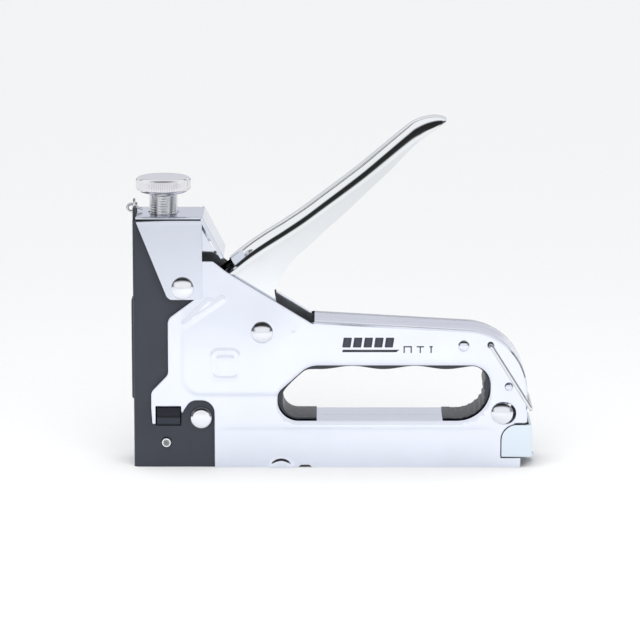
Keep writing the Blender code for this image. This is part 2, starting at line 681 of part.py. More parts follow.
def pull_cap():
    """Folded end cap: rear wall and two side walls flush with the shells."""
    wall = SHEET
    half = SHELL_HALF
    section = [
        (60, -half, 0), (79.8, -half, 1.6), (79.8, half, 1.6), (60, half, 0),
        (60, half - wall, 0), (79.8 - wall, half - wall, 0.4), (79.8 - wall, -half + wall, 0.4),
        (60, -half + wall, 0),
    ]
    cap = prism("pull_cap", [rounded(section, steps=14)], 0, 25, axis="Z")
    keep_inside(cap, prism("cap_side", [rounded(CAP_SIDE, steps=12)], -20, 20))
    return finish(cap, CHROME, 0.16)


def latch():
    """Thumb tab hinged between the rail's walls, and its pin."""
    pin = finish(prism("latch_pin", [circle_loop(LATCH_PIVOT, 0.55, 12)], -5.2, 5.2), RAW_STEEL, 0.3)
    x, z = LATCH_PIVOT
    outline = [(x - 1.5, z + 0.6), (x - 0.3, z + 1.4), (x + 1.1, z + 0.5), (81.1, 3.0), (81.0, 2.0),
               (x + 0.8, z - 1.5), (x - 0.9, z - 1.4), (x - 1.6, z - 0.4)]
    tab = prism("latch_tab", [outline, circle_loop(LATCH_PIVOT, 0.8, 12)], -3.0, 3.0)
    return finish(tab, CHROME, 0.2), pin


def bail_wire():
    """Loop of wire hooked into both shells, its closed end behind the body."""
    x, z = BAIL_PIVOT
    ex, ez = 79.4, 23.7
    side, bend = 14.3, 1.6
    near = [(x, -11.2, z), (x, -side + 0.5, z)]
    down = Vector((ex - x, 0, ez - z)).normalized()
    start = Vector((x, -side, z)) + down * 0.6
    stop = Vector((ex, -side, ez)) - down * bend
    legs = [tuple(start), tuple(stop), (ex - 0.25, -side + 0.45, ez + 0.4), (ex, -side + bend, ez)]
    half = near + legs
    points = half + [(px, -py, pz) for px, py, pz in reversed(half)]
    return finish(wire("bail_wire", points, 0.75), CHROME, 0.2)


def hook_spring():
    """Torsion spring in the notch at the top of the nose: one leg stands up, the other lies on the bracket."""
    turns = coil((-80.0, 103.0), 1.4, -1.3, 1.3, -1.75, "Y", 12)
    upright = [(-78.6, -1.3, 107.0), (-78.6, -1.3, 105.0)]
    resting = [(-79.0, 1.3, 104.3), (-78.2, 1.3, 103.7), (-77.2, 1.3, 102.9), (-75.5, 1.3, 102.3)]
    return finish(wire("hook_spring", [*upright, *turns, *resting], 0.5, 1), SPRING_STEEL, 0.25)


def joint_empty(name, at, children):
    """An empty on a joint's axis, holding the pieces that move with it."""
    empty = bpy.data.objects.new(name, None)
    empty.location = [v * MM for v in at]
    empty.empty_display_size = 0.01
    PARTS.objects.link(empty)
    bpy.context.view_layer.update()
    for child in children:
        child.parent = empty
        child.matrix_parent_inverse = empty.matrix_world.inverted()
    return empty


def build():
    side_shells()
    front_housing()
    cap_bracket()
    spring_guard()
    thread_bush()
    grip_liner()
    bumper_block()
    fasteners()
    magazine_channel()
    staple_strip()
    hook_spring()
    return_spring()
    main_spring()
    px, pz = LEVER_PIVOT
    drive = [lever_handle(), lever_arm(), lever_bush("near", -1), lever_bush("far", 1)]
    joint_empty("lever_axis", (px, 0, pz), drive)
    joint_empty("hammer_slide", (SCREW_X, 0, HAMMER_FOOT), [hammer_block(), striker_blade()])
    screw = joint_empty("screw_axis", (SCREW_X, 0, KNOB_FOOT), [tension_screw(), tension_knob()])
    joint_empty("seat_slide", (SCREW_X, 0, SEAT_FOOT), [spring_seat(), screw])
    tab, pin = latch()
    latch_axis = joint_empty("latch_axis", (LATCH_PIVOT[0], 0, LATCH_PIVOT[1]), [tab])
    pusher_slide = joint_empty("pusher_slide", (PUSHER_REAR, 0, ROD_HEIGHT), [pusher()])
    rail_pieces = [pusher_rail(), guide_rod(), pull_cap(), pusher_spring(), pin]
    joint_empty("rail_slide", (STRIP_FRONT, 0, RAIL_TOP), [*rail_pieces, pusher_slide, latch_axis])
    joint_empty("bail_axis", (BAIL_PIVOT[0], 0, BAIL_PIVOT[1]), [bail_wire()])


clear_scene()
PARTS = new_collection("staple_gun")
CUTTERS = new_collection("cutters", hidden=True)
build()
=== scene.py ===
"""Looks of the staple gun: plated pressings, satin nose, threaded adjuster and wire parts, round its CAD frame.

X runs from the nose (-X) to the rear, Z is up. Outlines are (x, z, corner radius) in millimetres, as in the part.
"""

import json
import math

import bmesh
import bpy
import numpy as np
from mathutils import Matrix, Vector, geometry

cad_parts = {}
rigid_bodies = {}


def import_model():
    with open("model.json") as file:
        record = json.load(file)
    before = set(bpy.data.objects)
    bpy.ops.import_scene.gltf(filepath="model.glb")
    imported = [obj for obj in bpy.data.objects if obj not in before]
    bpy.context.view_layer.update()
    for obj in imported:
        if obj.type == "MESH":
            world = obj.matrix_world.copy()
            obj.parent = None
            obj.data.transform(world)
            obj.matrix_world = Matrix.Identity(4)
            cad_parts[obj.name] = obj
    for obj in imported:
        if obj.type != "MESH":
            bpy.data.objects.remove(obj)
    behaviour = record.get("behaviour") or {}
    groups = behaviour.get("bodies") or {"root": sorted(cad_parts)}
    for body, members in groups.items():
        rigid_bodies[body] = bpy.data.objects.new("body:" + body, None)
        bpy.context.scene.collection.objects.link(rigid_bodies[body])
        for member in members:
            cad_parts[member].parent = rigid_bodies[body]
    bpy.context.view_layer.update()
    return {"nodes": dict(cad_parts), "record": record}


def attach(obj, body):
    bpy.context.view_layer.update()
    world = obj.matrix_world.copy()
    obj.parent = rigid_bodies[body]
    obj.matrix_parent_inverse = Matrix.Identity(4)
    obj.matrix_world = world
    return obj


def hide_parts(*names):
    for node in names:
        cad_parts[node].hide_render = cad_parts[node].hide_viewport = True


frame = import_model()

MM = 0.001
TURN = 2 * math.pi
RECORD_BODIES = frame["record"]["behaviour"]["bodies"]
BODY_OF = {node: body for body, nodes in RECORD_BODIES.items() for node in nodes}

SHELL_HALF = 13.0
SEAM_HALF = 0.15
SHEET = 1.2
LINER_HALF = 10.6
LEVER_HALF = 10.0
CORNER_REACH = 0.85
BRACKET_HALF = 15.0

LEVER_PIVOT = (-27.8, 55.0)
BAIL_PIVOT = (62.9, 49.9)
BRACKET_RIVET = (-59.2, 73.2)
NOSE_RIVET = (-52.1, 20.0)
REAR_RIVET = (67.7, 22.2)
REAR_HOLE = (69.0, 22.1)
GRIP_PIN = (52.3, 49.5)
REAR_PIN = (70.3, 33.0)
ROLL_PIN = (-66.1, 10.0)
SCREW_X = -67.0
SCREW_RADIUS = 5.7
KNOB_RADIUS = 10.9
KNOB_FOOT = 109.2
KNOB_TOP = 115.6

SHELL_OUTLINE = [
    (-56.0, 83.6, 1.0), (-47.2, 83.6, 1.5), (-42.0, 79.4, 6.0), (-8.3, 58.7, 0.4), (-6.9, 59.0, 0.4),
    (77.8, 54.1, 24.8), (77.8, 17.7, 0.8), (67.2, 17.7, 6.5), (67.2, 3.9, 0.4), (75.2, 3.9, 0.4),
    (75.2, 0.0, 0.6), (-8.0, 0.0, 0.3), (-9.0, 1.0, 0.3), (-12.4, 1.0, 0.3), (-13.4, 0.0, 0.3),
    (-46.8, 0.0, 0.4), (-46.8, 27.4, 5.2), (-56.4, 27.4, 4.4), (-59.6, 22.4, 0.5), (-60.1, 22.4, 0.2),
    (-60.1, 25.0, 0.3), (-70.3, 25.0, 0.3), (-70.3, 17.8, 0.3), (-71.6, 17.8, 0.5), (-72.0, 24.0, 1.0),
    (-72.0, 30.8, 3.4), (-65.2, 37.9, 3.4), (-65.2, 60.4, 4.0), (-54.6, 68.2, 0.5),
]
FINGER_OPENING = [
    (-9.3, 41.6, 10.0), (63.2, 41.6, 8.0), (63.2, 19.0, 13.4), (-21.9, 19.0, 8.6), (-21.9, 30.4, 5.6),
]
SHELL_HOLES = [
    (LEVER_PIVOT, 3.3), (REAR_HOLE, 4.3), (GRIP_PIN, 1.6), (REAR_PIN, 1.3), (BAIL_PIVOT, 1.15),
]
EAR_SIDE = [
    (-38.2, 75.6, 0.5), (-36.6, 68.0, 3.0), (-36.0, 47.5, 7.5), (-20.2, 47.5, 7.5), (-22.4, 68.0, 5.0),
    (-23.4, 74.6, 1.0), (-31.4, 81.0, 1.0),
]
# Lever sections, root to tip: crown (x, z), flange edge (x, z), half width
LEVER_SECTIONS = [
    (-45.5, 79.5, -40.5, 68.5, 10.0), (-41.0, 83.2, -35.0, 71.5, 10.0), (-34.7, 88.3, -23.0, 71.5, 10.0),
    (-28.2, 92.8, -19.8, 77.6, 10.0), (-20.0, 98.0, -15.4, 83.8, 10.0), (-12.6, 103.0, -8.6, 89.9, 10.0),
    (-4.6, 109.0, -1.5, 96.6, 10.0), (3.5, 115.1, 6.2, 103.5, 10.0), (11.7, 121.5, 14.2, 111.3, 10.0),
    (19.8, 128.3, 22.6, 119.2, 9.9), (28.0, 135.1, 30.5, 127.5, 9.7), (32.1, 138.0, 34.2, 130.8, 9.4),
    (36.2, 139.5, 37.6, 133.4, 8.8), (40.2, 140.1, 40.4, 135.0, 7.8), (43.2, 139.7, 42.9, 136.6, 6.4),
    (45.2, 138.9, 44.7, 137.7, 4.6),
]
# The lever's bend, upwards: slope reached in degrees and length, at the root and at the tip
LEVER_BEND = [(24, 1.5, 1.5), (50, 2.0, 5.0), (54, 0.3, 0.3), (70, 5.4, 3.0), (76, 0.5, 0.5), (90, 3.4, 3.2)]


# Node and material helpers

def add(tree, kind, inputs=None, **settings):
    """A shader node whose inputs are given as values or as other nodes' sockets."""
    node = tree.nodes.new("ShaderNode" + kind)
    for key, value in settings.items():
        setattr(node, key, value)
    for key, value in (inputs or {}).items():
        if isinstance(value, bpy.types.NodeSocket):
            tree.links.new(value, node.inputs[key])
        else:
            node.inputs[key].default_value = value
    return node


def ramp(tree, source, stops):
    """A colour ramp over a socket; each stop is (position, grey or colour)."""
    node = add(tree, "ValToRGB", {"Fac": source})
    elements = node.color_ramp.elements
    while len(elements) < len(stops):
        elements.new(0.5)
    for element, (position, shade) in zip(elements, stops):
        element.position = position
        color = (shade, shade, shade) if isinstance(shade, (int, float)) else shade
        element.color = (*color, 1.0)
    return node.outputs["Color"]


def noise(tree, stretch, scale, detail=3.0, rough=0.5):
    """A noise value over the piece's own coordinates, stretched along its axes."""
    place = add(tree, "TexCoord").outputs["Object"]
    mapped = add(tree, "Mapping", {"Vector": place, "Scale": stretch}).outputs["Vector"]
    inputs = {"Vector": mapped, "Scale": scale, "Detail": detail, "Roughness": rough}
    return add(tree, "TexNoise", inputs).outputs["Fac"]


def bump(tree, height, distance, strength, before=None):
    inputs = {"Height": height, "Distance": distance, "Strength": strength}
    if before is not None:
        inputs["Normal"] = before
    return add(tree, "Bump", inputs).outputs["Normal"]


def surface(name, metallic):
    made = bpy.data.materials.new(name)
    made.use_nodes = True
    shader = made.node_tree.nodes["Principled BSDF"]
    shader.inputs["Metallic"].default_value = metallic
    return made, made.node_tree, shader


def plated(name, color, roughness, wave=0.06, scratch=0.05):
    """Bright plating over pressed steel: soft waves, smudges and fine rubbing marks along X."""
    made, tree, shader = surface(name, 1.0)
    dull = tuple(c * 0.955 for c in color)
    cloud = noise(tree, (1, 1, 1), 38, 3.0, 0.55)
    tree.links.new(ramp(tree, cloud, [(0.35, dull), (0.68, color)]), shader.inputs["Base Color"])
    smudge = noise(tree, (1, 1, 1.6), 95, 5.0, 0.65)
    stops = [(0.38, roughness), (0.62, roughness * 1.35), (0.78, roughness * 2.0)]
    tree.links.new(ramp(tree, smudge, stops), shader.inputs["Roughness"])
    waves = bump(tree, noise(tree, (1, 1, 1), 55, 2.0), 0.0006, wave)
    rubbing = noise(tree, (60, 900, 900), 6, 4.0, 0.7)
    tree.links.new(bump(tree, rubbing, 0.00002, scratch, waves), shader.inputs["Normal"])
    return made


def bare(name, color, roughness, grain=0.12):
    """Bare or zinc-coated steel: a mottled, finely ground surface."""
    made, tree, shader = surface(name, 1.0)
    spots = noise(tree, (1, 1, 1), 420, 4.0, 0.6)
    dark = tuple(c * 0.72 for c in color)
    tree.links.new(ramp(tree, spots, [(0.3, dark), (0.7, color)]), shader.inputs["Base Color"])
    stops = [(0.3, roughness * 0.8), (0.7, roughness * 1.5)]
    tree.links.new(ramp(tree, noise(tree, (1, 1, 1), 150, 4.0), stops), shader.inputs["Roughness"])
    ground = noise(tree, (80, 1500, 1500), 5, 3.0, 0.7)
    tree.links.new(bump(tree, ground, 0.00003, grain), shader.inputs["Normal"])
    return made


def painted(name, color, light, roughness):
    """Satin stoved paint: a fine orange peel and faint cloudy wear."""
    made, tree, shader = surface(name, 0.0)
    shader.inputs["Specular IOR Level"].default_value = 0.45
    cloud = noise(tree, (1, 1, 1), 60, 4.0, 0.6)
    tree.links.new(ramp(tree, cloud, [(0.35, color), (0.75, light)]), shader.inputs["Base Color"])
    stops = [(0.35, roughness), (0.7, roughness * 1.25)]
    tree.links.new(ramp(tree, noise(tree, (1, 1, 1), 240, 4.0), stops), shader.inputs["Roughness"])
    peel = bump(tree, noise(tree, (1, 1, 1), 1300, 2.0), 0.00006, 0.22)
    tree.links.new(bump(tree, noise(tree, (1, 1, 1), 5200, 2.0), 0.00002, 0.2, peel), shader.inputs["Normal"])
    return made


def moulded(name, color, light, roughness, grain=0.35):
    """Moulded plastic or rubber with a spark-eroded grain."""
    made, tree, shader = surface(name, 0.0)
    cloud = noise(tree, (1, 1, 1), 130, 4.0, 0.6)
    tree.links.new(ramp(tree, cloud, [(0.3, color), (0.75, light)]), shader.inputs["Base Color"])
    stops = [(0.3, roughness), (0.7, roughness * 1.3)]
    tree.links.new(ramp(tree, noise(tree, (1, 1, 1), 600, 3.0), stops), shader.inputs["Roughness"])
    pits = noise(tree, (1, 1, 1), 3800, 3.0, 0.6)
    tree.links.new(bump(tree, pits, 0.00005, grain), shader.inputs["Normal"])
    return made


def rubber_with_painted_facet_shade(name):
    """Black rubber with painted light and shade: by height, the upper facet is painted dark, a darker painted shade
    line runs along the ridge, and the lower facet is painted paler.
    """
    made, tree, shader = surface(name, 0.0)
    shader.inputs["Specular IOR Level"].default_value = 0.25
    place = add(tree, "TexCoord").outputs["Object"]
    height = add(tree, "SeparateXYZ", {"Vector": place}).outputs["Z"]
    share = add(tree, "MapRange", {"Value": height, "From Min": 17.2 * MM, "From Max": 24.4 * MM}).outputs["Result"]
    # Painted light and shade by height: a dark upper facet, a darker painted line along the ridge, and a paler lower
    # facet.
    ridge_line_shade, upper, lower = (0.003, 0.004, 0.006), (0.010, 0.012, 0.019), (0.028, 0.033, 0.047)
    stops = [(0.0, upper), (0.1, lower), (0.4, lower), (0.46, ridge_line_shade), (0.52, ridge_line_shade), (0.58, upper)]
    tree.links.new(ramp(tree, share, stops), shader.inputs["Base Color"])
    tree.links.new(ramp(tree, noise(tree, (1, 1, 1), 600, 3.0), [(0.3, 0.35), (0.7, 0.5)]), shader.inputs["Roughness"])
    grain = noise(tree, (1, 1, 1), 3800, 3.0, 0.6)
    tree.links.new(bump(tree, grain, 0.00005, 0.2), shader.inputs["Normal"])
    return made


def printed(name, color):
    """Screen-printed ink with a slightly broken coat."""
    made, tree, shader = surface(name, 0.0)
    coat = noise(tree, (1, 1, 1), 2600, 3.0, 0.6)
    pale = tuple(c + 0.05 for c in color)
    tree.links.new(ramp(tree, coat, [(0.45, color), (0.8, pale)]), shader.inputs["Base Color"])
    tree.links.new(ramp(tree, coat, [(0.3, 0.35), (0.8, 0.6)]), shader.inputs["Roughness"])
    return made


SHELL_CHROME = plated("shell_chrome", (0.80, 0.83, 0.925), 0.11)
BRACKET_CHROME = plated("bracket_chrome", (0.72, 0.755, 0.845), 0.14)
CAP_CHROME = plated("cap_chrome", (0.72, 0.80, 0.875), 0.13)
LEVER_CHROME = plated("lever_chrome", (0.87, 0.89, 0.91), 0.07, wave=0.05)
RIVET_CHROME = plated("rivet_chrome", (0.84, 0.85, 0.90), 0.13, wave=0.02)
KNOB_CHROME = plated("knob_chrome", (0.86, 0.85, 0.88), 0.12, wave=0.02)
WIRE_CHROME = plated("wire_chrome", (0.80, 0.81, 0.83), 0.15, wave=0.02)
# Darker steel colour for the shells' inner faces: painted shade for the inside of the body.
INNER_STEEL_PAINTED_SHADE = bare("inner_steel", (0.42, 0.44, 0.47), 0.34)
NOSE_PAINT = painted("nose_paint", (0.026, 0.03, 0.043), (0.032, 0.037, 0.053), 0.42)
LINER_PLASTIC = moulded("liner_plastic", (0.026, 0.031, 0.039), (0.036, 0.043, 0.053), 0.36)
# The bumper's rubber has the light and shade of its facets painted into its colour.
BUMPER_RUBBER_PAINTED_SHADE = rubber_with_painted_facet_shade("bumper_rubber")
SPRING_STEEL = bare("spring_steel", (0.46, 0.46, 0.48), 0.24)
ZINC_STEEL = bare("zinc_steel", (0.56, 0.57, 0.58), 0.3)
STAPLE_WIRE = bare("staple_wire", (0.66, 0.65, 0.62), 0.2)
PRINT_INK = printed("print_ink", (0.03, 0.034, 0.05))


# Geometry helpers

def rounded(corners, steps=10):
    """Corner points (x, z, r) as a closed outline, each corner replaced by an arc of radius r."""
    points = []
    for i, (x, z, r) in enumerate(corners):
        here = Vector((x, z))
        back = Vector(corners[i - 1][:2]) - here
        ahead = Vector(corners[(i + 1) % len(corners)][:2]) - here
        opening = back.angle(ahead)
        if r <= 0 or opening > math.radians(179):
            points.append((x, z))
            continue
        reach = min(r / math.tan(opening / 2), CORNER_REACH * min(back.length, ahead.length))
        radius = reach * math.tan(opening / 2)
        bisector = (back.normalized() + ahead.normalized()).normalized()
        centre = here + bisector * (radius / math.sin(opening / 2))
        start = here + back.normalized() * reach - centre
        turn = start.angle_signed(here + ahead.normalized() * reach - centre)
        count = max(2, round(steps * abs(turn) / (math.pi / 2) * min(1.6, 0.5 + radius / 8)))
        for k in range(count + 1):
            point = centre + Matrix.Rotation(-turn * k / count, 2) @ start
            points.append((point.x, point.y))
    return points


def circle(centre, radius, steps=40):
    angles = [TURN * k / steps for k in range(steps)]
    return [(centre[0] + radius * math.cos(a), centre[1] + radius * math.sin(a)) for a in angles]


def box_loop(x0, x1, z0, z1):
    return [(x0, z0), (x1, z0), (x1, z1), (x0, z1)]


def dense(loop, gap):
    """The closed loop with no two neighbours further apart than gap."""
    points = []
    for i, here in enumerate(loop):
        ahead = loop[(i + 1) % len(loop)]
        count = max(1, math.ceil(math.dist(here, ahead) / gap))
        points += [(here[0] + (ahead[0] - here[0]) * k / count, here[1] + (ahead[1] - here[1]) * k / count)
                   for k in range(count)]
    return points


def wound(loop, sign):
    """The loop turned to run anticlockwise (sign +1) or clockwise (-1)."""
    area = sum(a[0] * b[1] - b[0] * a[1] for a, b in zip(loop, loop[1:] + loop[:1]))
    return loop if area * sign > 0 else loop[::-1]


def linked(obj):
    bpy.context.scene.collection.objects.link(obj)
    return obj


def settle(obj, sharp_deg=38):
    """Applies the modifiers, smooths the faces and keeps true edges sharp."""
    bpy.context.view_layer.update()
    graph = bpy.context.evaluated_depsgraph_get()
    mesh = bpy.data.meshes.new_from_object(obj.evaluated_get(graph))
    mesh.transform(obj.matrix_world)
    obj.modifiers.clear()
    obj.matrix_world = Matrix.Identity(4)
    if obj.type == "CURVE":
        name = obj.name
        bpy.data.objects.remove(obj)
        obj = linked(bpy.data.objects.new(name, mesh))
    else:
        obj.data = mesh
    mesh.shade_smooth()
    mesh.set_sharp_from_angle(angle=math.radians(sharp_deg))
    return obj


def weld(obj, distance=2e-6):
    shape = bmesh.new()
    shape.from_mesh(obj.data)
    bmesh.ops.remove_doubles(shape, verts=shape.verts, dist=distance)
    bmesh.ops.dissolve_degenerate(shape, edges=shape.edges, dist=distance)
    bmesh.ops.recalc_face_normals(shape, faces=shape.faces)
    shape.to_mesh(obj.data)
    shape.free()
    return obj


def show(obj, look, slot, body, *nodes):
    """Gives a finished piece its material and body, and hides the CAD nodes it stands for."""
    if not obj.data.materials:
        obj.data.materials.append(look)
    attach(obj, body)
    if nodes:
        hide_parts(*nodes)
    return obj


AXIS_TURNS = {"X": (math.pi / 2, 0, math.pi / 2), "Y": (math.pi / 2, 0, 0), "Z": (0, 0, 0)}


def prism(name, loops, low, high, axis="Y", bevel=0.0):
    """Closed loops (holes included) extruded from low to high along an axis, with rounded rims."""
    curve = bpy.data.curves.new(name, "CURVE")
    curve.dimensions = "2D"
    curve.fill_mode = "BOTH"
    curve.extrude = ((high - low) / 2 - bevel) * MM
    curve.bevel_depth = bevel * MM
    curve.bevel_resolution = 3
    curve.offset = -bevel * MM
    for loop in loops:
        spline = curve.splines.new("POLY")
        spline.points.add(len(loop) - 1)
        for point, (a, b) in zip(spline.points, loop):
            point.co = (a * MM, b * MM, 0, 1)
        spline.use_cyclic_u = True
    obj = linked(bpy.data.objects.new(name, curve))
    obj.rotation_euler = AXIS_TURNS[axis]
    obj.location["XYZ".index(axis)] = (low + high) / 2 * MM
    return weld(settle(obj))


def skin(name, rows, ring=True):
    """A mesh over rows of points in millimetres, each row closed into a ring unless told otherwise."""
    width = len(rows[0])
    verts = [tuple(c * MM for c in point) for row in rows for point in row]
    faces = []
    for r in range(len(rows) - 1):
        for c in range(width if ring else width - 1):
            d = (c + 1) % width
            faces.append((r * width + c, r * width + d, (r + 1) * width + d, (r + 1) * width + c))
    mesh = bpy.data.meshes.new(name)
    mesh.from_pydata(verts, [], faces)
    return linked(bpy.data.objects.new(name, mesh))


def turned(name, profile, at, axis="Z", steps=64, reshape=None):
    """A closed profile of (radius, height) spun about an axis through at; reshape may alter each radius."""
    rows = []
    for r, h in profile:
        row = []
        for k in range(steps):
            angle = TURN * k / steps
            radius = reshape(r, h, angle) if reshape else r
            a, b = radius * math.cos(angle), radius * math.sin(angle)
            offset = (a, b, h) if axis == "Z" else (a, h, b)
            row.append(tuple(o + p for o, p in zip(offset, at)))
        rows.append(row)
    return settle(weld(skin(name, rows)), 32)


def wire(name, points, radius, sides=4):
    """A round wire along points in millimetres."""
    curve = bpy.data.curves.new(name, "CURVE")
    curve.dimensions = "3D"
    curve.bevel_depth = radius * MM
    curve.bevel_resolution = sides
    curve.use_fill_caps = True
    spline = curve.splines.new("POLY")
    spline.points.add(len(points) - 1)
    for point, at in zip(spline.points, points):
        point.co = (*[v * MM for v in at], 1)
    return weld(settle(linked(bpy.data.objects.new(name, curve)), 60))


def eased(points, cuts=6):
    """A Catmull-Rom curve through points."""
    ends = [points[0], *points, points[-1]]
    out = []
    for a, b, c, d in zip(ends, ends[1:], ends[2:], ends[3:]):
        for k in range(cuts):
            t = k / cuts
            out.append(tuple(
                0.5 * (2 * q + (r - p) * t + (2 * p - 5 * q + 4 * r - s) * t * t + (3 * q - p - 3 * r + s) * t ** 3)
                for p, q, r, s in zip(a, b, c, d)))
    return [*out, tuple(points[-1])]


def refined(node, look, slot, bevel=0.2, segments=3, name=None):
    """A CAD node's shape with softened edges and even shading, in place of the node."""
    source = frame["nodes"][node].data
    mesh = bpy.data.meshes.new(f"{node}_finished")
    corners = [tuple(v.co) for v in source.vertices]
    mesh.from_pydata(corners, [], [tuple(p.vertices) for p in source.polygons])
    obj = weld(linked(bpy.data.objects.new(name or f"{node}_finished", mesh)))
    shape = bmesh.new()
    shape.from_mesh(obj.data)
    bmesh.ops.dissolve_limit(shape, angle_limit=math.radians(0.6), verts=shape.verts, edges=shape.edges)
    shape.to_mesh(obj.data)
    shape.free()
    if bevel:
        rim = obj.modifiers.new("Rim", "BEVEL")
        rim.width = bevel * MM
        rim.segments = segments
        rim.angle_limit = math.radians(32)
        rim.use_clamp_overlap = True
    obj.data.shade_smooth()
    even = obj.modifiers.new("Even", "WEIGHTED_NORMAL")
    even.keep_sharp = True
    even.weight = 80
    return show(settle(obj, 50), look, slot, BODY_OF[node], node)


# Pressed shells

def ease(low, high, value):
    t = np.clip((value - low) / (high - low), 0.0, 1.0)
    return t * t * (3 - 2 * t)


def to_segments(points, starts, ends):
    """Each point's distance to the nearest of the segments."""
    best = np.full(len(points), 1e9)
    for start, end in zip(starts, ends):
        along = end - start
        t = np.clip(((points - start) @ along) / max(along @ along, 1e-12), 0, 1)
        best = np.minimum(best, np.hypot(*(points - start - t[:, None] * along).T))
    return best


def line_height(points, a, b, width, height):
    """A rounded rib (or a sunk line, if height is negative) along the line a-b."""
    distance = to_segments(points, [np.array(a)], [np.array(b)])
    return height * np.exp(-((distance / width) ** 2))


def round_box(points, centre, half, radius):
    """Signed distance to a rounded rectangle, negative inside."""
    q = np.abs(points - np.array(centre)) - np.array(half) + radius
    return np.hypot(*np.maximum(q, 0).T) + np.minimum(q.max(axis=1), 0) - radius


def embossing(points):
    """Height of the pressing above the flat side, in millimetres."""
    x, z = points.T
    fade = (1 - ease(-26, -8, x)) * (1 - ease(40, 75, z))
    height = 0.55 * ease(-1.1, 1.1, -round_box(points, (-29.4, 59.8), (30, 30), 7)) * fade
    height += line_height(points, (-58.6, 58.4), (-43.6, 68.4), 0.65, 0.5)
    height += line_height(points, (-55.4, 61.6), (-48.8, 67.6), 0.55, 0.44)
    height += line_height(points, (-42.7, 74.6), (-42.7, 77.2), 0.45, -0.16)
    height += line_height(points, (-45.6, 3.5), (-45.6, 12.5), 0.4, -0.10)
    height += line_height(points, (-15.4, 54.0), (-15.4, 55.0), 0.4, 0.12)
    height += line_height(points, (-26.3, 32.0), (-26.3, 33.2), 0.4, 0.12)
    height -= 0.16 * (1 - ease(15.4, 16.4, z)) * ease(-44.5, -41, x) * (1 - ease(62, 66, x))
    lens = 1 - ((x + 20.3) / 5.2) ** 2 - ((z + 0.4) / 4.4) ** 2
    height += 1.0 * ease(0.0, 0.6, lens)
    height += staple_symbol(points)
    return height


SYMBOL_HEIGHT = 0.28


def staple_symbol(points):
    """A plain embossed staple inside a rounded square."""
    frame_line = np.abs(round_box(points, (-42.4, 42.0), (5.2, 5.6), 2.4))
    height = SYMBOL_HEIGHT * np.exp(-((frame_line / 0.42) ** 2))
    for a, b in (((-45.0, 44.8), (-39.8, 44.8)), ((-45.0, 44.8), (-45.0, 39.4)), ((-39.8, 44.8), (-39.8, 39.4))):
        height = np.maximum(height, line_height(points, a, b, 0.5, SYMBOL_HEIGHT))
    return height


EDGE_ROUND = 0.3
# Chamfer over each flange as (width, slope): steep round the outside, shallow round the finger opening
OUTER_RIM = (0.62, 1.8)
OPENING_RIM = (0.9, 0.42)


def edge_drop(distance):
    """How far a plain rounded edge has fallen at this distance from it."""
    u = np.clip((EDGE_ROUND - distance) / EDGE_ROUND, 0, 1)
    return EDGE_ROUND * (1 - np.sqrt(1 - u * u))


def rim_drop(distance, width, slope):
    """How far a chamfer has fallen at this distance from its edge."""
    return slope * np.maximum(0, width - distance)


def left_normals(loop):
    points = np.array(loop)
    along = np.roll(points, -1, axis=0) - np.roll(points, 1, axis=0)
    normals = np.stack([-along[:, 1], along[:, 0]], axis=1)
    return normals / np.linalg.norm(normals, axis=1)[:, None]


def inside(points, loop):
    """Even-odd test of many points against one loop."""
    x, z = points.T
    odd = np.zeros(len(points), bool)
    for (x0, z0), (x1, z1) in zip(loop, loop[1:] + loop[:1]):
        if z0 != z1:
            crosses = ((z0 > z) != (z1 > z)) & (x < (x1 - x0) * (z - z0) / (z1 - z0) + x0)
            odd ^= crosses
    return odd


